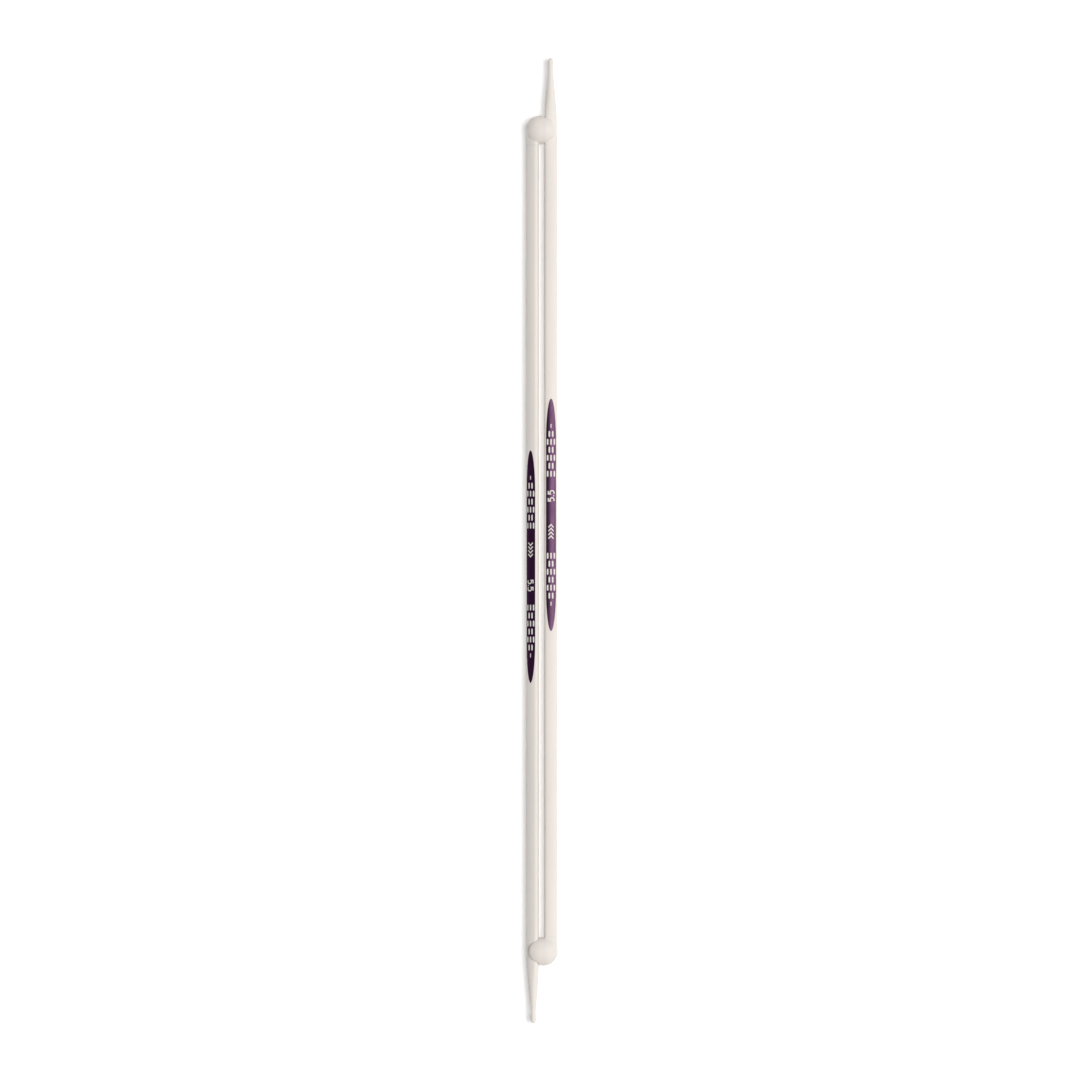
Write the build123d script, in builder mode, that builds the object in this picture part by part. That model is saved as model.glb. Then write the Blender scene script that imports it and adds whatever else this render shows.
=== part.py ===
from build123d import *
import os
from math import asin, copysign, cos, degrees, radians, sin, sqrt

# A pair of straight knitting needles that hold each other, lying side by side and pointing opposite
# ways along Y. All sizes are in millimetres. Each needle is described in its own frame, with its head
# towards +Y and its point towards -Y. The left needle has turn = 1, and the right needle is the same
# needle turned half a turn about Z, with turn = -1.

# Driving dimensions
NEEDLE_SIZE = 5.5  # diameter of the circle around the shaft's section, the size number of the needle
NEEDLE_LENGTH = 350.0
TIP_Y = -186.1  # end of the point
SHAFT_X = 3.33  # distance of each shaft's axis from the middle of the pair

# Shaft: a rounded triangle with slightly bowed sides
CORNER_DISTANCE = 1.6  # from the axis to the centre of each corner's arc
SIDE_FLATNESS = 2.0  # 1 makes the width constant, and more makes the sides flatter
PRINT_ROLLS = {"left": 31.0, "right": 4.0}  # degrees that each printed face leans outwards

# Point: (distance from the end, half width), round as far as ROUND_TO, then turning triangular
BULB = (1.6, 1.12)
NECK = (5.0, 1.07)
SWELL = (10.0, 1.42)
ROUND_TO = (12.0, 1.64)
TAPER = [(15.0, 1.92, 0.15), (18.0, 2.14, 0.4), (22.0, 2.36, 0.7), (26.0, 2.48, 0.9)]
TAPER_LENGTH = 30.0
TAPER_SLOPE = 0.1  # growth in half width for each millimetre, where the triangle begins

# Clip head: a flattened ball drawn out sideways, open on the other needle's side
BALL_RADIUS = 5.5  # seen from above
BALL_HALF_HEIGHT = 4.6
BALL_OUTER_X = -0.65
BALL_INNER_X = 0.75
FOOT_FLAT = 0.25  # depth of the flat on the underside
COLLAR_LENGTH = 0.15  # part of the head moulding that continues the shaft below the ball
CLIP_CLEARANCE = 0.06
SPIGOT_RADIUS = 1.8
SPIGOT_LENGTH = 6.0
SPIGOT_CHAMFER = 0.3

# Printed panel
PRINT_MIDDLE_Y = -10.0
PRINT_LENGTH = 89.6
PRINT_WIDTH = 3.8
PRINT_THICKNESS = 0.05
PRINT_POINT_LENGTH = 16.0
DASH_ROW_START = 15.8
DASH_ROW_PITCH = 3.08
DASH_LENGTH = 2.3
DASH_WIDTH = 0.62
DASH_PITCH = 1.3
DASHES_IN_ROW = [3, 2, 3, 2, 3, 2, 1]
LAST_DASH_LENGTH = 1.6
LAST_DASH_WIDTH = 0.4
SIZE_MIDDLE = 7.3  # towards the point from the panel's middle
FIGURE_HEIGHT = 2.55
FIGURE_WIDTH = 1.75
FIGURE_PITCH = 2.75
FIGURE_WAIST = 0.25  # from the middle of the figure up to where the bowl of the 5 begins
FIGURE_BAR_INSET = 0.1
STROKE = 0.46
CHEVRON_MIDDLE = -6.5  # towards the head from the panel's middle
CHEVRON_COUNT = 4
CHEVRON_PITCH = 1.45
CHEVRON_HEIGHT = 2.4
CHEVRON_DEPTH = 1.1

# Worked out
AXIS_Z = BALL_HALF_HEIGHT - FOOT_FLAT
CORNER_RADIUS = NEEDLE_SIZE / 2 - CORNER_DISTANCE
SIDE_RADIUS = CORNER_RADIUS + sqrt(3) * SIDE_FLATNESS * CORNER_DISTANCE
SIDE_CENTRE = CORNER_DISTANCE * (sqrt(3 * SIDE_FLATNESS ** 2 - 0.75) - 0.5)  # from the axis
SIDE_SWING = degrees(asin(0.5 / SIDE_FLATNESS))  # half of the angle of each side's arc
SHAFT_WIDTH = 2 * (CORNER_RADIUS + CORNER_DISTANCE * cos(radians(30)))
HEAD_END_Y = TIP_Y + NEEDLE_LENGTH
BALL_Y = HEAD_END_Y - BALL_RADIUS
SHOULDER_Y = BALL_Y - BALL_RADIUS - COLLAR_LENGTH
TURNS = {"left": 1, "right": -1}
OTHER = {"left": "right", "right": "left"}


def towards(degrees, distance):
    """A point in a cross-section, at an angle from straight up that grows towards its right."""
    return (distance * sin(radians(degrees)), distance * cos(radians(degrees)))


def across(turn, y, x=-SHAFT_X):
    """The plane of a needle's cross-section at y, with Z up in it, facing the needle's point."""
    return Plane(origin=(turn * x, turn * y, AXIS_Z), x_dir=(turn, 0, 0), z_dir=(0, -turn, 0))


def rounded_triangle(roll, half_width=SHAFT_WIDTH / 2, triangular=1.0, grow=0.0):
    """The shaft's section, with its printed side facing roll; triangular = 0 makes it a circle."""
    distance = triangular * CORNER_DISTANCE * half_width / (SHAFT_WIDTH / 2)
    corner = half_width - distance * cos(radians(30)) + grow
    crown = corner + distance * (SIDE_RADIUS - SIDE_CENTRE - CORNER_RADIUS) / CORNER_DISTANCE
    swing = 60 - SIDE_SWING
    with BuildSketch() as section:
        with BuildLine():
            for facing in (roll + 60, roll + 180, roll + 300):
                middle = Vector(*towards(facing, distance))
                ends = [middle + Vector(*towards(facing + part * swing, corner)) for part in (-1, 0, 1)]
                ThreePointArc(*ends)
                next_middle = Vector(*towards(facing + 120, distance))
                next_start = next_middle + Vector(*towards(facing + 120 - swing, corner))
                ThreePointArc(ends[2], towards(facing + 60, crown), next_start)
        make_face()
    return section.sketch


def facing_arc(roll, facing):
    """The centre and radius of the arc of the shaft's section that faces a direction."""
    off_side = (facing - roll + 60) % 120 - 60
    if abs(off_side) <= SIDE_SWING:
        return towards(facing - off_side, -SIDE_CENTRE), SIDE_RADIUS
    return towards(facing - off_side + copysign(60, off_side), CORNER_DISTANCE), CORNER_RADIUS


def make_shaft(turn, roll):
    with BuildPart() as shaft:
        with BuildSketch(across(turn, SHOULDER_Y)):
            add(rounded_triangle(roll))
        extrude(amount=SHOULDER_Y - TIP_Y - TAPER_LENGTH)

        with BuildSketch(across(turn, TIP_Y + TAPER_LENGTH)):
            add(rounded_triangle(roll))
        for distance, half_width, triangular in reversed(TAPER):
            with BuildSketch(across(turn, TIP_Y + distance)):
                add(rounded_triangle(roll, half_width, triangular))
        with BuildSketch(across(turn, TIP_Y + ROUND_TO[0])):
            add(rounded_triangle(roll, ROUND_TO[1], 0))
        loft()

        tip = Plane(origin=(-turn * SHAFT_X, turn * TIP_Y, AXIS_Z), x_dir=(turn, 0, 0), z_dir=(0, 0, 1))
        with BuildSketch(tip):
            with BuildLine():
                outline = [(half_width, distance) for distance, half_width in (BULB, NECK, SWELL, ROUND_TO)]
                Spline((0, 0), *outline, tangents=[(1, 0), (TAPER_SLOPE, 1)], tangent_scalars=[0.8, 1])
                Polyline(outline[-1], (0, ROUND_TO[0]), (0, 0))
            make_face()
        revolve(axis=Axis(tip.origin, tip.y_dir))

        with BuildSketch(across(turn, SHOULDER_Y)):
            Circle(SPIGOT_RADIUS)
        extrude(amount=-SPIGOT_LENGTH)
        spigot_end = shaft.edges().filter_by_position(
            Axis.Y, *sorted(turn * (SHOULDER_Y + SPIGOT_LENGTH + step) for step in (-0.01, 0.01)))
        chamfer(spigot_end, SPIGOT_CHAMFER)
    return shaft


def make_clip_head(turn, roll, other_roll):
    with BuildPart() as head:
        for x, away in ((BALL_OUTER_X, -turn), (BALL_INNER_X, turn)):
            upright = Plane(
                origin=(turn * x, turn * BALL_Y, AXIS_Z), x_dir=(0, -away, 0), z_dir=(-away, 0, 0))
            with BuildSketch(upright):
                with BuildLine():
                    EllipticalCenterArc((0, 0), BALL_RADIUS, BALL_HALF_HEIGHT, -90, arc_size=180)
                    Line((0, BALL_HALF_HEIGHT), (0, -BALL_HALF_HEIGHT))
                make_face()
            revolve(axis=Axis(upright.origin, (0, 0, 1)), revolution_arc=180)
        outer_end = Plane(
            origin=(turn * BALL_OUTER_X, turn * BALL_Y, AXIS_Z), x_dir=(0, turn, 0), z_dir=(turn, 0, 0))
        with BuildSketch(outer_end):
            Ellipse(BALL_RADIUS, BALL_HALF_HEIGHT)
        extrude(amount=BALL_INNER_X - BALL_OUTER_X)

        with BuildSketch(across(turn, SHOULDER_Y)):
            add(rounded_triangle(roll))
        extrude(amount=SHOULDER_Y - BALL_Y)

        above, above_radius = facing_arc(other_roll, 0)
        below, below_radius = facing_arc(other_roll, 180)
        top = above[1] + above_radius + CLIP_CLEARANCE
        bottom = below_radius - below[1] + CLIP_CLEARANCE
        open_end = 2 * BALL_RADIUS
        with BuildSketch(across(turn, HEAD_END_Y + 1, SHAFT_X)):
            add(rounded_triangle(other_roll, grow=CLIP_CLEARANCE))
            with BuildLine():
                Polyline((above[0], top), (open_end, top), (open_end, -bottom), (below[0], -bottom), close=True)
            make_face()
        extrude(amount=3 * BALL_RADIUS, mode=Mode.SUBTRACT)

        with BuildSketch(across(turn, SHOULDER_Y)):
            Circle(SPIGOT_RADIUS)
        extrude(amount=-SPIGOT_LENGTH, mode=Mode.SUBTRACT)
        split(bisect_by=Plane.XY, keep=Keep.TOP)
    return head


def figure_five(middle):
    """The figure 5 as one stroke, reading along X, centred at middle."""
    left, right = middle - FIGURE_WIDTH / 2 + STROKE / 2, middle + FIGURE_WIDTH / 2 - STROKE / 2
    top, bottom = FIGURE_HEIGHT / 2 - STROKE / 2, STROKE / 2 - FIGURE_HEIGHT / 2
    with BuildSketch() as figure:
        with BuildLine():
            bar = Polyline((right - FIGURE_BAR_INSET, top), (left, top), (left, FIGURE_WAIST))
            ThreePointArc(bar @ 1, (right, (FIGURE_WAIST + bottom) / 2), (left, bottom))
        trace(line_width=STROKE)
    return figure.sketch


def make_print(turn, roll):
    facing = Plane(
        origin=(-turn * SHAFT_X, turn * PRINT_MIDDLE_Y, AXIS_Z),
        x_dir=(0, -turn, 0),
        z_dir=(turn * sin(radians(roll)), 0, cos(radians(roll))),
    )
    with BuildPart() as panel:
        with BuildSketch(across(turn, PRINT_MIDDLE_Y + PRINT_LENGTH / 2)):
            add(rounded_triangle(roll, grow=PRINT_THICKNESS))
        extrude(amount=PRINT_LENGTH)
        with BuildSketch(across(turn, PRINT_MIDDLE_Y + PRINT_LENGTH / 2)):
            add(rounded_triangle(roll))
        extrude(amount=PRINT_LENGTH, mode=Mode.SUBTRACT)

        with BuildSketch(facing):
            shoulder = PRINT_LENGTH / 2 - PRINT_POINT_LENGTH
            Rectangle(2 * shoulder, PRINT_WIDTH)
            with Locations((-shoulder, 0), (shoulder, 0)):
                Ellipse(PRINT_POINT_LENGTH, PRINT_WIDTH / 2)
            for row, count in enumerate(DASHES_IN_ROW):
                place = DASH_ROW_START + row * DASH_ROW_PITCH
                last = count == 1
                length, width = (LAST_DASH_LENGTH, LAST_DASH_WIDTH) if last else (DASH_LENGTH, DASH_WIDTH)
                for end in (-1, 1):
                    with Locations((end * place, 0)):
                        with GridLocations(0, DASH_PITCH, 1, count):
                            SlotOverall(length, width, mode=Mode.SUBTRACT)
            add(make_marks(), mode=Mode.SUBTRACT)
        extrude(amount=NEEDLE_SIZE, mode=Mode.INTERSECT)
    return panel


def make_marks():
    """The size number, and a row of plain chevrons like knit stitches."""
    with BuildSketch() as marks:
        for side in (-1, 1):
            add(figure_five(SIZE_MIDDLE + side * FIGURE_PITCH / 2))
        with Locations((SIZE_MIDDLE, STROKE / 2 - FIGURE_HEIGHT / 2)):
            Rectangle(STROKE, STROKE)
        for stitch in range(CHEVRON_COUNT):
            back = CHEVRON_MIDDLE + (stitch - (CHEVRON_COUNT - 1) / 2) * CHEVRON_PITCH - CHEVRON_DEPTH / 2
            with BuildLine():
                Polyline(
                    (back, CHEVRON_HEIGHT / 2 - STROKE / 2),
                    (back + CHEVRON_DEPTH, 0),
                    (back, STROKE / 2 - CHEVRON_HEIGHT / 2),
                )
            trace(line_width=STROKE)
    return marks.sketch


os.makedirs("parts", exist_ok=True)

for side, turn in TURNS.items():
    roll = -PRINT_ROLLS[side]
    other_roll = PRINT_ROLLS[OTHER[side]]
    pieces = {
        f"{side}_needle_shaft": make_shaft(turn, roll),
        f"{side}_needle_clip_head": make_clip_head(turn, roll, other_roll),
        f"{side}_needle_print": make_print(turn, roll),
    }
    for name, piece in pieces.items():
        piece.part.label = name
        export_step(piece.part, f"parts/{name}.step")
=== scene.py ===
import math

import bmesh
import bpy
import numpy as np
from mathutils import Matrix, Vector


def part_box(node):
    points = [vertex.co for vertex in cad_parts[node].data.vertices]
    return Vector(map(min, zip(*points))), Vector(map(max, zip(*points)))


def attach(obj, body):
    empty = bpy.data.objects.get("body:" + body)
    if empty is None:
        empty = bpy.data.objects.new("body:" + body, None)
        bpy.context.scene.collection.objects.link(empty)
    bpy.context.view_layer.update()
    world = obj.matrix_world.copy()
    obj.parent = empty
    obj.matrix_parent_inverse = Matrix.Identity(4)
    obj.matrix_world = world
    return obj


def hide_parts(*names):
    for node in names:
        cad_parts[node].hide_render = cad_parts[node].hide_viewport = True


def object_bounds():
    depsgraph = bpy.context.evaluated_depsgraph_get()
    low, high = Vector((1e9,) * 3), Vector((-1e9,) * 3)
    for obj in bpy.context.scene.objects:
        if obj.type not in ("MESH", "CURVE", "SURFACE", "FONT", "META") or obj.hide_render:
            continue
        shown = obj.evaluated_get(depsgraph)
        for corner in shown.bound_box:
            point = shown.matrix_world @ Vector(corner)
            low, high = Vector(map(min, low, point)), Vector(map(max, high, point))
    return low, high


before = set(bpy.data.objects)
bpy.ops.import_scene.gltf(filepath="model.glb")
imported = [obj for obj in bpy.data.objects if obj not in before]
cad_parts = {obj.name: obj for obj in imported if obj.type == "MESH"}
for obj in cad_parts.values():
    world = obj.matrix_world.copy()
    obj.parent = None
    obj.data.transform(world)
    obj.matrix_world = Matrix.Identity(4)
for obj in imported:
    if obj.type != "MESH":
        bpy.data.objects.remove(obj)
cad_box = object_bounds()

# A pair of straight knitting needles that hold each other. Shapes are worked out in millimetres in the
# needle's own frame, with its head towards +Y and its point towards -Y, and scaled to metres at the end.
# The left needle is at turn 1, and the right one is turned half a turn about Z, at turn -1.
MM = 0.001
TURNS = {"left": 1, "right": -1}
OTHER = {"left": "right", "right": "left"}


def node_box(name):
    """The corners of a CAD node in millimetres."""
    return [np.array(corner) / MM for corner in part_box(name)]


shaft_low, shaft_high = node_box("left_needle_shaft")
head_low, head_high = node_box("left_needle_clip_head")
print_low, print_high = node_box("left_needle_print")

# Sizes that the frame's boxes don't give
SIZE = 5.5  # diameter of the circle around the shaft's section
CORNER_DISTANCE = 1.6  # from the shaft's axis to the centre of each corner's arc
SIDE_FLATNESS = 2.0  # 1 makes the section's width constant, and more makes its sides flatter
PRINT_ROLLS = {"left": 31.0, "right": 4.0}  # degrees that each printed face leans outwards
SHAFT_X = 3.33
BALL_RADIUS = 5.5  # seen from above
BALL_HALF_HEIGHT = 4.6
BALL_INNER_X = 0.75
SPIGOT_RADIUS = 1.8
CLIP_CLEARANCE = 0.06

# Places from the frame
TIP_Y = shaft_low[1]
SPIGOT_END_Y = shaft_high[1]
BALL_Y = head_high[1] - BALL_RADIUS
HEAD_OUTER_X = max(cad_box[0][0], -cad_box[1][0]) / MM  # of the head that reaches out less
BALL_OUTER_X = HEAD_OUTER_X + BALL_RADIUS
SHOULDER_Y = head_low[1]
AXIS_Z = head_high[2] - BALL_HALF_HEIGHT
PRINT_MIDDLE_Y = (print_low[1] + print_high[1]) / 2
PRINT_LENGTH = print_high[1] - print_low[1]

CORNER_RADIUS = SIZE / 2 - CORNER_DISTANCE
SIDE_RADIUS = CORNER_RADIUS + math.sqrt(3) * SIDE_FLATNESS * CORNER_DISTANCE
SIDE_CENTRE = CORNER_DISTANCE * (math.sqrt(3 * SIDE_FLATNESS ** 2 - 0.75) - 0.5)  # from the axis
SIDE_SWING = math.degrees(math.asin(0.5 / SIDE_FLATNESS))  # half of the angle of each side's arc
CORNER_SWING = 60 - SIDE_SWING
SHAFT_WIDTH = 2 * (CORNER_RADIUS + CORNER_DISTANCE * math.cos(math.radians(30)))

# Point: (distance from the end, half width, how triangular)
POINT = [
    (1.6, 1.12, 0.0), (5.0, 1.07, 0.0), (10.0, 1.42, 0.0), (12.0, 1.64, 0.0), (15.0, 1.92, 0.15),
    (18.0, 2.14, 0.4), (22.0, 2.36, 0.7), (26.0, 2.48, 0.9), (30.0, SHAFT_WIDTH / 2, 1.0),
]


# ---------------------------------------------------------------- mesh helpers

def towards(degrees, distance):
    """Offsets (right, up) in a cross-section, at an angle from straight up that grows to the right."""
    return distance * np.sin(np.radians(degrees)), distance * np.cos(np.radians(degrees))


def make_object(name, points, faces, turn):
    """A smooth mesh object from points in millimetres in the needle's frame."""
    mesh = bpy.data.meshes.new(name)
    placed = np.asarray(points, float) * MM * np.array([turn, turn, 1.0])
    mesh.from_pydata(placed.tolist(), [], [tuple(map(int, face)) for face in faces])
    mesh.update()
    mesh.shade_smooth()
    piece = bpy.data.objects.new(name, mesh)
    bpy.context.scene.collection.objects.link(piece)
    return piece


def hermite(table, at, column):
    """A smooth curve through the rows of table, level at both ends."""
    xs = np.array([row[0] for row in table])
    ys = np.array([row[column] for row in table])
    slopes = np.zeros(len(xs))
    slopes[1:-1] = (ys[2:] - ys[:-2]) / (xs[2:] - xs[:-2])
    at = np.clip(at, xs[0], xs[-1])
    i = np.clip(np.searchsorted(xs, at) - 1, 0, len(xs) - 2)
    step = xs[i + 1] - xs[i]
    t = (at - xs[i]) / step
    return (
        ys[i] * (1 + 2 * t) * (1 - t) ** 2 + slopes[i] * step * t * (1 - t) ** 2
        + ys[i + 1] * t * t * (3 - 2 * t) + slopes[i + 1] * step * t * t * (t - 1)
    )


# ---------------------------------------------------------------- shaft

ARC_STEPS = 12
SHARP_ANGLE = math.radians(50)
RIDGE_WIDTH = 0.16  # mould parting line along a corner and the face across from it
RIDGE_HEIGHT = 0.022
RIDGE_POWER = 0.7  # under 1 rounds the ridge's top
RIDGE_POINTS = (-1, -0.45, 0, 0.45, 1)  # across the ridge, as shares of its half width
RIDGE_CLEAR = 1.1  # no other point of a ring is nearer to the ridge's middle, in half widths
RIDGE_START, RIDGE_FADE = 14.0, 8.0  # where it starts, from the point, and grows to full height
TIP_RINGS = 14
TIP_START = 0.06
POINT_RINGS = 58
SHOULDER_EDGE = 0.03
SPIGOT_GAP = 0.02
SPIGOT_CHAMFER = 0.3
SPIGOT_ROOT = 0.05
STRAIGHT_STEP = 6.0


def ring_shares():
    """Where a ring's points lie, as arcs and shares of arcs, closer at the parting lines."""
    shares = list(np.arange(0, 6, 1 / ARC_STEPS))
    for middle, swing, radius in ((0.5, CORNER_SWING, CORNER_RADIUS), (3.5, SIDE_SWING, SIDE_RADIUS)):
        near = RIDGE_WIDTH / 2 / radius / math.radians(2 * swing)
        shares = [share for share in shares if abs(share - middle) > RIDGE_CLEAR * near]
        shares += [middle + near * part for part in RIDGE_POINTS]
    return np.array(sorted(shares))


def ring_angle(roll, share):
    """The direction that the section faces at a share of its arcs: corners are even, sides are odd."""
    arc = int(share)
    swing = SIDE_SWING if arc % 2 else CORNER_SWING
    return roll - 60 + 60 * arc + (2 * (share - arc) - 1) * swing


def ring(roll, half_width, triangular, ridge):
    """A ring of the shaft's section, as (right, up) offsets from its axis."""
    scale = triangular * half_width / (SHAFT_WIDTH / 2)
    corner = half_width - scale * CORNER_DISTANCE * math.cos(math.radians(30))
    side = corner + scale * (SIDE_RADIUS - CORNER_RADIUS)
    points = []
    for share in ring_shares():
        arc = int(share)
        out = ridge * max(
            ridge_shape(share - 0.5, CORNER_SWING, corner), ridge_shape(share - 3.5, SIDE_SWING, side))
        away, radius = (-SIDE_CENTRE, side) if arc % 2 else (CORNER_DISTANCE, corner)
        start = towards(roll - 60 + 60 * arc, scale * away)
        end = towards(ring_angle(roll, share), radius + out)
        points.append((start[0] + end[0], start[1] + end[1]))
    return np.array(points)


def ridge_shape(share, swing, radius):
    """Height of the parting line at a share of an arc away from its middle."""
    away = abs(share) * math.radians(2 * swing) * radius / (RIDGE_WIDTH / 2)
    return RIDGE_HEIGHT * max(0.0, 1 - away) ** RIDGE_POWER


def shaft_stations():
    """(y, half width, how triangular, share of ridge) along the needle, from the point to the shoulder."""
    rows = []
    bulb_end, bulb_width = POINT[0][:2]
    for turn in np.linspace(TIP_START, 1, TIP_RINGS):
        distance = bulb_end * (1 - math.cos(turn * math.pi / 2))
        rows.append((TIP_Y + distance, bulb_width * math.sin(turn * math.pi / 2), 0.0, 0.0))
    for distance in np.linspace(bulb_end, POINT[-1][0], POINT_RINGS)[1:]:
        ridge = float(np.clip((distance - RIDGE_START) / RIDGE_FADE, 0, 1))
        rows.append((TIP_Y + distance, hermite(POINT, distance, 1), hermite(POINT, distance, 2), ridge))
    start = TIP_Y + POINT[-1][0]
    straight = SHOULDER_Y - SHOULDER_EDGE - start
    count = round(straight / STRAIGHT_STEP)
    rows += [(start + straight * i / count, SHAFT_WIDTH / 2, 1.0, 1.0) for i in range(1, count + 1)]
    for turn in (30, 60, 90):
        y = SHOULDER_Y - SHOULDER_EDGE * (1 - math.sin(math.radians(turn)))
        inset = SHOULDER_EDGE * (1 - math.cos(math.radians(turn)))
        rows.append((y, SHAFT_WIDTH / 2 - inset, 1.0, 1.0 - turn / 90))
    return rows


def make_shaft(side):
    """One needle's shaft, with its point and the spigot inside the head."""
    roll = -PRINT_ROLLS[side]
    points, rings = [(-SHAFT_X, TIP_Y, AXIS_Z)], []
    for y, half_width, triangular, ridge in shaft_stations():
        section = ring(roll, half_width, triangular, ridge)
        rings.append(range(len(points), len(points) + len(section)))
        points += [(-SHAFT_X + right, y, AXIS_Z + up) for right, up in section]
    count = len(rings[0])
    angles = np.array([ring_angle(roll, share) for share in ring_shares()])
    narrow = SPIGOT_RADIUS - SPIGOT_GAP
    for y, radius in (
        (SHOULDER_Y, narrow + SPIGOT_ROOT), (SHOULDER_Y + SPIGOT_ROOT, narrow),
        (SPIGOT_END_Y - SPIGOT_CHAMFER, narrow),
        (SPIGOT_END_Y, narrow - SPIGOT_CHAMFER), (SPIGOT_END_Y, narrow / 3),
    ):
        rings.append(range(len(points), len(points) + count))
        right, up = towards(angles, radius)
        points += [(-SHAFT_X + r, y, AXIS_Z + u) for r, u in zip(right, up)]
    points.append((-SHAFT_X, SPIGOT_END_Y, AXIS_Z))
    end = len(points) - 1
    faces = []
    for i in range(count):
        j = (i + 1) % count
        faces.append((0, rings[0][j], rings[0][i]))
        faces.append((end, rings[-1][i], rings[-1][j]))
        faces += [(a[j], b[j], b[i], a[i]) for a, b in zip(rings, rings[1:])]
    piece = make_object(f"{side}_shaft_moulding", points, faces, TURNS[side])
    piece.data.set_sharp_from_angle(angle=SHARP_ANGLE)
    return piece


# ---------------------------------------------------------------- clip head

HEAD_STEP = 0.125
NEWTON_STEPS = 6
SLOPE_REACH = 0.01
LEAST_SLOPE = 0.2
LEAST_GRADIENT = 1e-3  # keeps the ball's distance finite at its middle
RIM_SNAP = 0.07  # points this near the collar's end edge are put on it
BLEND = 0.6  # where the ball runs into the collar, less on the side where they run level
BLEND_LEAST = 0.05
BLEND_REACH = 3.0
SLOT_EDGE = 0.55
FOOT_EDGE = 0.2
SOCKET_EDGE = 0.12
GATE_RADIUS = 0.55
GATE_DEPTH = 0.14
GATE_EDGE = 0.15


def soft_min(a, b, soft):
    """The lesser of a and b, with the corner between them rounded over soft."""
    h = np.clip(soft - np.abs(a - b), 0, None) / soft
    return np.minimum(a, b) - h * h * soft / 4


def soft_max(a, b, soft):
    return -soft_min(-a, -b, soft)


def from_triangle(right, up, roll):
    """Distance outside the shaft's section, for points given as offsets from its axis."""
    side_distance = np.full(right.shape, -np.inf)
    corner_wedge = np.zeros(right.shape, bool)
    corner_distance = np.zeros(right.shape)
    for facing in (roll + 60, roll + 180, roll + 300):
        sx, sy = towards(facing, SIDE_CENTRE)
        side_distance = np.maximum(side_distance, np.hypot(right - sx, up - sy) - SIDE_RADIUS)
        cx, cy = towards(facing, CORNER_DISTANCE)
        dx, dy = right - cx, up - cy
        gap = np.hypot(dx, dy)
        ux, uy = towards(facing, 1)
        inside = (dx * ux + dy * uy) > gap * math.cos(math.radians(CORNER_SWING))
        corner_wedge |= inside
        corner_distance = np.where(inside, gap - CORNER_RADIUS, corner_distance)
    return np.where(corner_wedge, corner_distance, side_distance)


def facing_arc(roll, facing):
    """The centre and radius of the arc of the shaft's section that faces a direction."""
    off_side = (facing - roll + 60) % 120 - 60
    if abs(off_side) <= SIDE_SWING:
        return towards(facing - off_side, -SIDE_CENTRE), SIDE_RADIUS
    return towards(facing - off_side + math.copysign(60, off_side), CORNER_DISTANCE), CORNER_RADIUS


def head_distance(p, roll, other_roll):
    """Signed distance from the head's surface, for points in the needle's frame in millimetres."""
    x, y, z = p[..., 0], p[..., 1] - BALL_Y, p[..., 2] - AXIS_Z
    radii = np.array([BALL_RADIUS, BALL_RADIUS, BALL_HALF_HEIGHT])
    from_middle = np.stack([x - np.clip(x, BALL_OUTER_X, BALL_INNER_X), y, z], -1)
    share = np.linalg.norm(from_middle / radii, axis=-1)
    gradient = np.linalg.norm(from_middle / radii ** 2, axis=-1)
    ball = share * (share - 1) / np.maximum(gradient, LEAST_GRADIENT)

    collar = np.maximum(from_triangle(x + SHAFT_X, z, roll), y)
    inward = np.hypot(z, np.maximum(x + SHAFT_X, 0)) / BLEND_REACH
    body = soft_min(ball, collar, BLEND * np.clip(inward, BLEND_LEAST, 1))
    body = np.maximum(body, HEAD_OUTER_X - x)
    body = np.maximum(body, SHOULDER_Y - BALL_Y - y)

    above, above_radius = facing_arc(other_roll, 0)
    below, below_radius = facing_arc(other_roll, 180)
    top, bottom = above[1] + above_radius, below_radius - below[1]
    walls = np.abs(z - (top - bottom) / 2) - (top + bottom) / 2
    widest = np.where(z > 0, above[0], below[0])
    slot = np.where(x - SHAFT_X > widest, walls, from_triangle(x - SHAFT_X, z, other_roll))
    body = soft_max(body, CLIP_CLEARANCE - slot, SLOT_EDGE)

    socket = np.hypot(x + SHAFT_X, z) - SPIGOT_RADIUS
    socket = np.maximum(socket, y - (SPIGOT_END_Y - BALL_Y) - SPIGOT_GAP)
    body = soft_max(body, -socket, SOCKET_EDGE)

    gate_middle = BALL_RADIUS + GATE_RADIUS - GATE_DEPTH
    gate_x = x - (BALL_OUTER_X + BALL_INNER_X) / 2
    gate = np.sqrt(gate_x ** 2 + (y - gate_middle) ** 2 + z ** 2) - GATE_RADIUS
    body = soft_max(body, -gate, GATE_EDGE)
    return soft_max(body, -(z + AXIS_Z), FOOT_EDGE)


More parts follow.
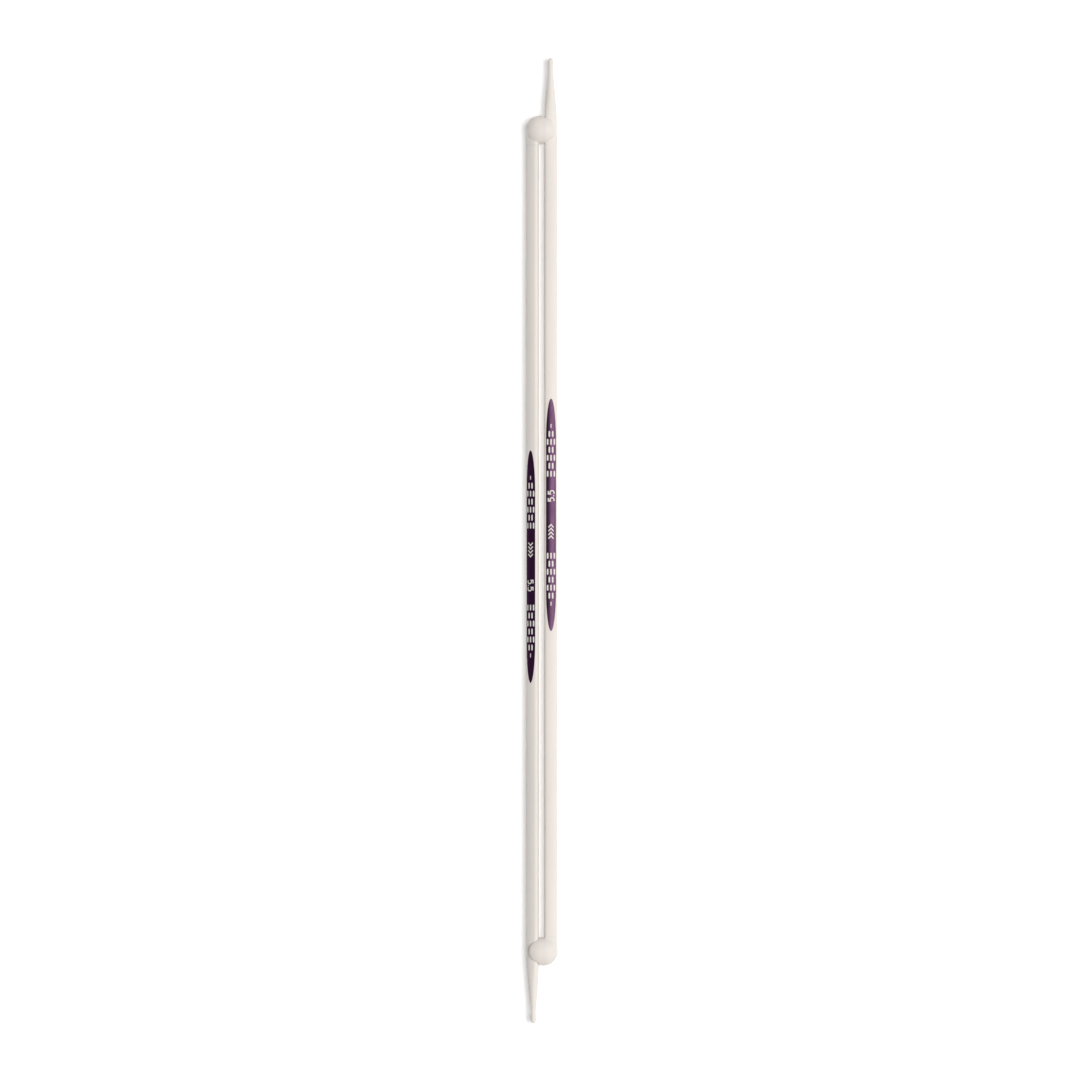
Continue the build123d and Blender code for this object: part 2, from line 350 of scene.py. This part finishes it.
def surface_net(distance, low, high, step):
    """Points and quads of the surface where distance is zero, by surface nets and Newton steps."""
    axes = [np.arange(a, b + step, step) for a, b in zip(low, high)]
    grid = np.stack(np.meshgrid(*axes, indexing="ij"), -1)
    values = distance(grid)
    solid = values < 0
    shape = np.array(values.shape)
    total = np.zeros((*(shape - 1), 3))
    hits = np.zeros(shape - 1)
    crossings = []
    for axis in range(3):
        ahead = [slice(None)] * 3
        here = [slice(None)] * 3
        ahead[axis], here[axis] = slice(1, None), slice(None, -1)
        ahead, here = tuple(ahead), tuple(here)
        crossed = solid[here] != solid[ahead]
        index = np.argwhere(crossed)
        near, far = values[here][crossed], values[ahead][crossed]
        place = index.astype(float)
        place[:, axis] += near / (near - far)
        others = [a for a in range(3) if a != axis]
        for back in ((0, 0), (1, 0), (0, 1), (1, 1)):
            cell = index.copy()
            cell[:, others[0]] -= back[0]
            cell[:, others[1]] -= back[1]
            np.add.at(total, tuple(cell.T), place)
            np.add.at(hits, tuple(cell.T), 1)
        crossings.append((axis, others, index, solid[here][crossed]))
    used = hits > 0
    number = np.full(used.shape, -1)
    number[used] = np.arange(used.sum())
    points = total[used] / hits[used][:, None] * step + np.array(low)
    faces = []
    for axis, others, index, inside in crossings:
        corners = []
        for back in ((0, 0), (1, 0), (1, 1), (0, 1)):
            cell = index.copy()
            cell[:, others[0]] -= back[0]
            cell[:, others[1]] -= back[1]
            corners.append(number[tuple(cell.T)])
        quads = np.stack(corners, 1)
        flip = inside if axis == 1 else ~inside
        quads[flip] = quads[flip][:, ::-1]
        faces.append(quads)
    for _ in range(NEWTON_STEPS):
        value = distance(points)
        slope = np.stack([
            distance(points + offset) - distance(points - offset) for offset in np.eye(3) * SLOPE_REACH
        ], -1) / (2 * SLOPE_REACH)
        size = np.maximum((slope ** 2).sum(-1), LEAST_SLOPE)
        move = (value / size)[:, None] * slope
        points -= np.clip(move, -step / 3, step / 3)
    return points, np.concatenate(faces)


def make_clip_head(side):
    """One needle's head, with its end edge laid on the shaft's section."""
    roll, other_roll = -PRINT_ROLLS[side], PRINT_ROLLS[OTHER[side]]
    margin = 3 * HEAD_STEP
    low, high = head_low - margin, head_high + margin
    points, faces = surface_net(lambda p: head_distance(p, roll, other_roll), low, high, HEAD_STEP)
    right, up = points[:, 0] + SHAFT_X, points[:, 2] - AXIS_Z
    outside = from_triangle(right, up, roll)
    rim = (points[:, 1] < SHOULDER_Y + RIM_SNAP) & (outside > -RIM_SNAP)
    points[rim, 1] = SHOULDER_Y
    shrink = 1 - outside[rim] / np.hypot(right, up)[rim]
    points[rim, 0] = right[rim] * shrink - SHAFT_X
    points[rim, 2] = up[rim] * shrink + AXIS_Z
    piece = make_object(f"{side}_head_moulding", points, faces, TURNS[side])
    piece.data.set_sharp_from_angle(angle=SHARP_ANGLE)
    return piece


# ---------------------------------------------------------------- print

PRINT_WIDTH = 3.8
PRINT_POINT_LENGTH = 16.0
INK_THICKNESS = 0.03
DASH_ROW_START = 15.8
DASH_ROW_PITCH = 3.08
DASH_SIZE = (2.3, 0.62)
LAST_DASH_SIZE = (1.6, 0.4)
DASH_PITCH = 1.3
DASHES_IN_ROW = [3, 2, 3, 2, 3, 2, 1]
SIZE_MIDDLE = 7.3
FIGURE_HEIGHT, FIGURE_WIDTH, FIGURE_PITCH = 2.55, 1.75, 2.75
FIGURE_WAIST = 0.25
FIGURE_BAR_INSET = 0.1
STROKE = 0.46
PANEL_END_STEPS, DASH_END_STEPS, BOWL_STEPS = 32, 11, 28
PANEL_LINES = 18  # along the panel, its two sides included, so that it can bend
CHEVRON_MIDDLE = -6.5
CHEVRON_COUNT = 4
CHEVRON_PITCH = 1.45
CHEVRON_HEIGHT, CHEVRON_DEPTH = 2.4, 1.1


def arc(cx, cy, radius, start, end, steps):
    """Points along an arc, in degrees from the first axis."""
    angles = np.radians(np.linspace(start, end, steps))
    return [(cx + radius * math.cos(a), cy + radius * math.sin(a)) for a in angles]


def panel_outline():
    """The panel's outline: straight sides, with half of a long ellipse at each end."""
    shoulder = PRINT_LENGTH / 2 - PRINT_POINT_LENGTH
    quarter = [
        (shoulder + PRINT_POINT_LENGTH * x, y * PRINT_WIDTH / 2)
        for x, y in arc(0, 0, 1, 90, 0, PANEL_END_STEPS)
    ]
    right_half = quarter + [(x, -y) for x, y in reversed(quarter[:-1])]
    return right_half + [(-x, -y) for x, y in right_half]


def dash(cx, cy, length, width):
    """A long dash with round ends."""
    reach = length / 2 - width / 2
    right = arc(cx + reach, cy, width / 2, -90, 90, DASH_END_STEPS)
    return right + arc(cx - reach, cy, width / 2, 90, 270, DASH_END_STEPS)


def stroke(path):
    """The outline of a line of even thickness along path, with mitred corners and square ends."""
    path = np.array(path)
    runs = np.diff(path, axis=0)
    normals = np.stack([-runs[:, 1], runs[:, 0]], 1) / np.linalg.norm(runs, axis=1)[:, None]
    mitres = np.vstack([normals[:1], normals[:-1] + normals[1:], normals[-1:]])
    mitres[1:-1] /= 1 + (normals[:-1] * normals[1:]).sum(1)[:, None]
    left = path + mitres * STROKE / 2
    right = path - mitres * STROKE / 2
    return [tuple(p) for p in np.vstack([left, right[::-1]])]


def figure_five(middle):
    """The figure 5: a bar, a stem and a bowl."""
    left, right = middle - FIGURE_WIDTH / 2 + STROKE / 2, middle + FIGURE_WIDTH / 2 - STROKE / 2
    top, bottom = FIGURE_HEIGHT / 2 - STROKE / 2, STROKE / 2 - FIGURE_HEIGHT / 2
    half, depth = (FIGURE_WAIST - bottom) / 2, right - left
    radius = (half ** 2 + depth ** 2) / (2 * depth)
    start = 180 - math.degrees(math.atan2(half, radius - (2 * radius - depth)))
    bowl = arc(right - radius, (FIGURE_WAIST + bottom) / 2, radius, start, -start, BOWL_STEPS)
    return stroke([(right - FIGURE_BAR_INSET, top), (left, top), (left, FIGURE_WAIST), *bowl[1:]])


def print_windows():
    """Outlines of the places where the white polymer shows through the ink."""
    windows = []
    for row, count in enumerate(DASHES_IN_ROW):
        length, width = LAST_DASH_SIZE if count == 1 else DASH_SIZE
        for end in (-1, 1):
            for place in range(count):
                across = (place - (count - 1) / 2) * DASH_PITCH
                windows.append(dash(end * (DASH_ROW_START + row * DASH_ROW_PITCH), across, length, width))
    for figure in (-1, 1):
        windows.append(figure_five(SIZE_MIDDLE + figure * FIGURE_PITCH / 2))
    dot, low = STROKE / 2, STROKE / 2 - FIGURE_HEIGHT / 2
    square = ((-1, -1), (1, -1), (1, 1), (-1, 1))
    windows.append([(SIZE_MIDDLE + a * dot, low + b * dot) for a, b in square])
    for stitch in range(CHEVRON_COUNT):
        back = CHEVRON_MIDDLE + (stitch - (CHEVRON_COUNT - 1) / 2) * CHEVRON_PITCH - CHEVRON_DEPTH / 2
        rise = CHEVRON_HEIGHT / 2 - STROKE / 2
        windows.append(stroke([(back, rise), (back + CHEVRON_DEPTH, 0), (back, -rise)]))
    return windows


def filled_sheet(outlines):
    """A flat bmesh that fills the first outline less the others."""
    curve = bpy.data.curves.new("sheet", "CURVE")
    curve.dimensions = "2D"
    curve.fill_mode = "BOTH"
    for outline in outlines:
        spline = curve.splines.new("POLY")
        spline.points.add(len(outline) - 1)
        for point, (x, y) in zip(spline.points, outline):
            point.co = (x, y, 0, 1)
        spline.use_cyclic_u = True
    holder = bpy.data.objects.new("sheet", curve)
    bpy.context.scene.collection.objects.link(holder)
    bpy.context.view_layer.update()
    flat = bpy.data.meshes.new_from_object(holder.evaluated_get(bpy.context.evaluated_depsgraph_get()))
    bpy.data.objects.remove(holder)
    bpy.data.curves.remove(curve)
    sheet = bmesh.new()
    sheet.from_mesh(flat)
    bpy.data.meshes.remove(flat)
    bmesh.ops.remove_doubles(sheet, verts=sheet.verts, dist=1e-4)
    return sheet


def on_printed_side(roll, across, out):
    """Offsets from the axis of a point out from the section, across along the printed side."""
    if abs(across) < SIDE_RADIUS * math.sin(math.radians(SIDE_SWING)):
        centre, centre_across, radius = towards(roll, -SIDE_CENTRE), 0, SIDE_RADIUS
    else:
        corner = math.copysign(60, across)
        centre, centre_across = towards(roll + corner, CORNER_DISTANCE), towards(corner, CORNER_DISTANCE)[0]
        radius = CORNER_RADIUS
    lean = math.degrees(math.asin((across - centre_across) / radius))
    end = towards(roll + lean, radius + out)
    return centre[0] + end[0], centre[1] + end[1]


def make_print(side):
    """One needle's ink panel, bent on to the printed side of the shaft."""
    turn, roll = TURNS[side], -PRINT_ROLLS[side]
    sheet = filled_sheet([panel_outline(), *print_windows()])
    for across in np.linspace(-PRINT_WIDTH / 2, PRINT_WIDTH / 2, PANEL_LINES)[1:-1]:
        everything = sheet.verts[:] + sheet.edges[:] + sheet.faces[:]
        bmesh.ops.bisect_plane(
            sheet, geom=everything, plane_co=(0, across, 0), plane_no=(0, 1, 0), dist=1e-5)
    for face in sheet.faces:
        if face.normal.z < 0:
            face.normal_flip()
    raised = bmesh.ops.extrude_face_region(sheet, geom=sheet.faces[:], use_keep_orig=True)
    lifted = {item for item in raised["geom"] if isinstance(item, bmesh.types.BMVert)}
    for vert in sheet.verts:
        along, across = vert.co.x, vert.co.y
        right, up = on_printed_side(roll, across, INK_THICKNESS if vert in lifted else 0)
        place = (-SHAFT_X + right, PRINT_MIDDLE_Y - along, AXIS_Z + up)
        vert.co = (place[0] * turn * MM, place[1] * turn * MM, place[2] * MM)
    bmesh.ops.recalc_face_normals(sheet, faces=sheet.faces)
    mesh = bpy.data.meshes.new(f"{side}_ink_panel")
    sheet.to_mesh(mesh)
    sheet.free()
    mesh.shade_smooth()
    mesh.set_sharp_from_angle(angle=math.radians(30))
    piece = bpy.data.objects.new(f"{side}_ink_panel", mesh)
    bpy.context.scene.collection.objects.link(piece)
    return piece


# ---------------------------------------------------------------- materials

WHITE_COOL = (0.848, 0.806, 0.772)
WHITE_WARM = (0.876, 0.828, 0.784)
INK_DEEP = (0.013, 0.0009, 0.015)
INK_THIN = (0.027, 0.0018, 0.03)
INK_GLINT = (1.0, 0.55, 0.95)
POLYMER_ROUGHNESS = (0.4, 0.52)
POLYMER_SPECULAR = 0.2
INK_ROUGHNESS = (0.28, 0.38)
PLASTIC_IOR = 1.5
SUBSURFACE_WEIGHT = 0.3
SUBSURFACE_RADIUS = (1.0, 0.9, 0.8)
SUBSURFACE_DEPTH = 0.6 * MM


class Shader:
    """A node material, with short calls to add and join nodes."""

    def __init__(self, name):
        self.material = bpy.data.materials.new(name)
        self.material.use_nodes = True
        self.nodes = self.material.node_tree.nodes
        self.surface = self.nodes["Principled BSDF"]

    def add(self, kind, links=(), **values):
        node = self.nodes.new(kind)
        for key, value in values.items():
            if key in node.inputs:
                node.inputs[key].default_value = value
            else:
                setattr(node, key, value)
        for key, socket in dict(links).items():
            self.join(socket, node.inputs[key])
        return node

    def join(self, out, into):
        self.material.node_tree.links.new(out, into)

    def position(self, stretch=(1, 1, 1)):
        """Coordinates in millimetres, fixed to the piece, scaled along each axis."""
        place = self.add("ShaderNodeTexCoord").outputs["Object"]
        scale = tuple(1 / MM * s for s in stretch)
        return self.add("ShaderNodeMapping", {"Vector": place}, Scale=scale).outputs["Vector"]

    def noise(self, size, stretch=(1, 1, 1), detail=2.0, rough=0.5):
        """Noise whose features are about size millimetres across."""
        node = self.add(
            "ShaderNodeTexNoise", {"Vector": self.position(stretch)},
            Scale=1 / size, Detail=detail, Roughness=rough)
        return node.outputs["Fac"]

    def spread(self, value, low, high, start=0.3, end=0.7):
        """value, from start to end, spread over low to high."""
        names = {"From Min": start, "From Max": end, "To Min": low, "To Max": high}
        node = self.add("ShaderNodeMapRange", {"Value": value})
        for name, number in names.items():
            node.inputs[name].default_value = number
        return node.outputs["Result"]

    def colours(self, value, stops):
        """A colour ramp over value, from (place, colour) stops."""
        ramp = self.add("ShaderNodeValToRGB", {"Fac": value})
        elements = ramp.color_ramp.elements
        while len(elements) < len(stops):
            elements.new(0.5)
        for element, (place, colour) in zip(elements, stops):
            element.position = place
            element.color = (*colour, 1)
        return ramp.outputs["Color"]

    def bump(self, layers):
        """Stacks bumps from (height, depth in millimetres) layers on the surface."""
        normal = None
        for height, depth in layers:
            links = {"Height": height} if normal is None else {"Height": height, "Normal": normal}
            node = self.add("ShaderNodeBump", links, Strength=1.0, Distance=depth * MM)
            normal = node.outputs["Normal"]
        self.join(normal, self.surface.inputs["Normal"])


def polymer(name, along):
    """Satin white moulded polymer. along draws its flow marks out along the shaft."""
    shader = Shader(name)
    surface = shader.surface
    cloud = shader.noise(9.0, (1, 1 / along, 1), detail=3.0)
    tint = shader.colours(cloud, [(0.35, WHITE_COOL), (0.65, WHITE_WARM)])
    shader.join(tint, surface.inputs["Base Color"])
    smudge = shader.noise(2.6, (1, 1 / along, 1), detail=4.0, rough=0.6)
    shader.join(shader.spread(smudge, *POLYMER_ROUGHNESS), surface.inputs["Roughness"])
    surface.inputs["IOR"].default_value = PLASTIC_IOR
    surface.inputs["Specular IOR Level"].default_value = POLYMER_SPECULAR
    surface.inputs["Subsurface Weight"].default_value = SUBSURFACE_WEIGHT
    surface.inputs["Subsurface Radius"].default_value = SUBSURFACE_RADIUS
    surface.inputs["Subsurface Scale"].default_value = SUBSURFACE_DEPTH
    shader.bump([
        (shader.noise(5.0, (1, 1 / along, 1)), 0.02),
        (shader.noise(0.16, (1, 1 / min(along, 3), 1), detail=3.0), 0.002),
    ])
    return shader.material


def ink():
    """Thin gloss purple ink, screen printed, slightly uneven."""
    shader = Shader("print_ink")
    surface = shader.surface
    mottle = shader.noise(0.35, detail=4.0, rough=0.65)
    shader.join(shader.colours(mottle, [(0.3, INK_DEEP), (0.7, INK_THIN)]), surface.inputs["Base Color"])
    patch = shader.noise(1.8, (1, 0.4, 1), detail=3.0)
    shader.join(shader.spread(patch, *INK_ROUGHNESS), surface.inputs["Roughness"])
    surface.inputs["IOR"].default_value = PLASTIC_IOR
    surface.inputs["Specular Tint"].default_value = (*INK_GLINT, 1)
    shader.bump([(shader.noise(0.12, detail=3.0), 0.0015)])
    return shader.material


# ---------------------------------------------------------------- pieces

MAKERS = {
    "shaft": (make_shaft, "shaft_polymer", polymer("shaft_polymer", 6)),
    "clip_head": (make_clip_head, "head_polymer", polymer("head_polymer", 1)),
    "print": (make_print, "print_ink", ink()),
}
for side in TURNS:
    for part, (make, slot, material) in MAKERS.items():
        piece = make(side)
        piece.data.materials.append(material)
        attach(piece, f"{side}_needle")
        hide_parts(f"{side}_needle_{part}")


# ---------------------------------------------------------------- floor, light and camera

FLOOR_SIZE = 8.0
FLOOR_GLOW = 0.27
FLOOR_DARK, FLOOR_LIGHT = (0.93,) * 3, (0.95,) * 3
FLOOR_ROUGHNESS, FLOOR_SPECULAR = 0.9, 0.1
KEY_LEAN = 20  # degrees from straight up, towards the right
KEY_SPREAD = 38
KEY_STRENGTH = 2.6
KEY_COLOUR = (1.0, 0.985, 0.965)
SKY = 0.15
VIEW_WIDTH = 416.5 * MM
VIEW_OFFSET_X = -0.78 * MM
VIEW_OFFSET_Y = 0.27 * MM
CAMERA_HEIGHT = 0.8


def make_floor():
    mesh = bpy.data.meshes.new("floor")
    half = FLOOR_SIZE / 2
    corners = [(-half, -half, 0), (half, -half, 0), (half, half, 0), (-half, half, 0)]
    mesh.from_pydata(corners, [], [(0, 1, 2, 3)])
    floor = bpy.data.objects.new("floor", mesh)
    bpy.context.scene.collection.objects.link(floor)
    shader = Shader("floor_white")
    grain = shader.noise(1.5, detail=3.0)
    colour = shader.colours(grain, [(0.3, FLOOR_DARK), (0.7, FLOOR_LIGHT)])
    shader.join(colour, shader.surface.inputs["Base Color"])
    shader.surface.inputs["Roughness"].default_value = FLOOR_ROUGHNESS
    shader.surface.inputs["Specular IOR Level"].default_value = FLOOR_SPECULAR
    shader.surface.inputs["Emission Color"].default_value = (1, 1, 1, 1)
    shader.surface.inputs["Emission Strength"].default_value = FLOOR_GLOW
    mesh.materials.append(shader.material)


def make_key_light():
    light = bpy.data.lights.new("key", "SUN")
    light.energy = KEY_STRENGTH
    light.angle = math.radians(KEY_SPREAD)
    light.color = KEY_COLOUR
    lamp = bpy.data.objects.new("key", light)
    lamp.rotation_euler = (0, math.radians(KEY_LEAN), 0)
    bpy.context.scene.collection.objects.link(lamp)


def make_sky():
    world = bpy.data.worlds.new("studio")
    world.use_nodes = True
    background = world.node_tree.nodes["Background"]
    background.inputs["Color"].default_value = (1, 1, 1, 1)
    background.inputs["Strength"].default_value = SKY
    bpy.context.scene.world = world


def make_camera():
    data = bpy.data.cameras.new("camera")
    data.type = "ORTHO"
    data.ortho_scale = VIEW_WIDTH
    camera = bpy.data.objects.new("camera", data)
    camera.location = (VIEW_OFFSET_X, VIEW_OFFSET_Y, CAMERA_HEIGHT)
    bpy.context.scene.collection.objects.link(camera)
    bpy.context.scene.camera = camera


make_floor()
make_key_light()
make_sky()
make_camera()
bpy.context.scene.view_settings.view_transform = "Standard"
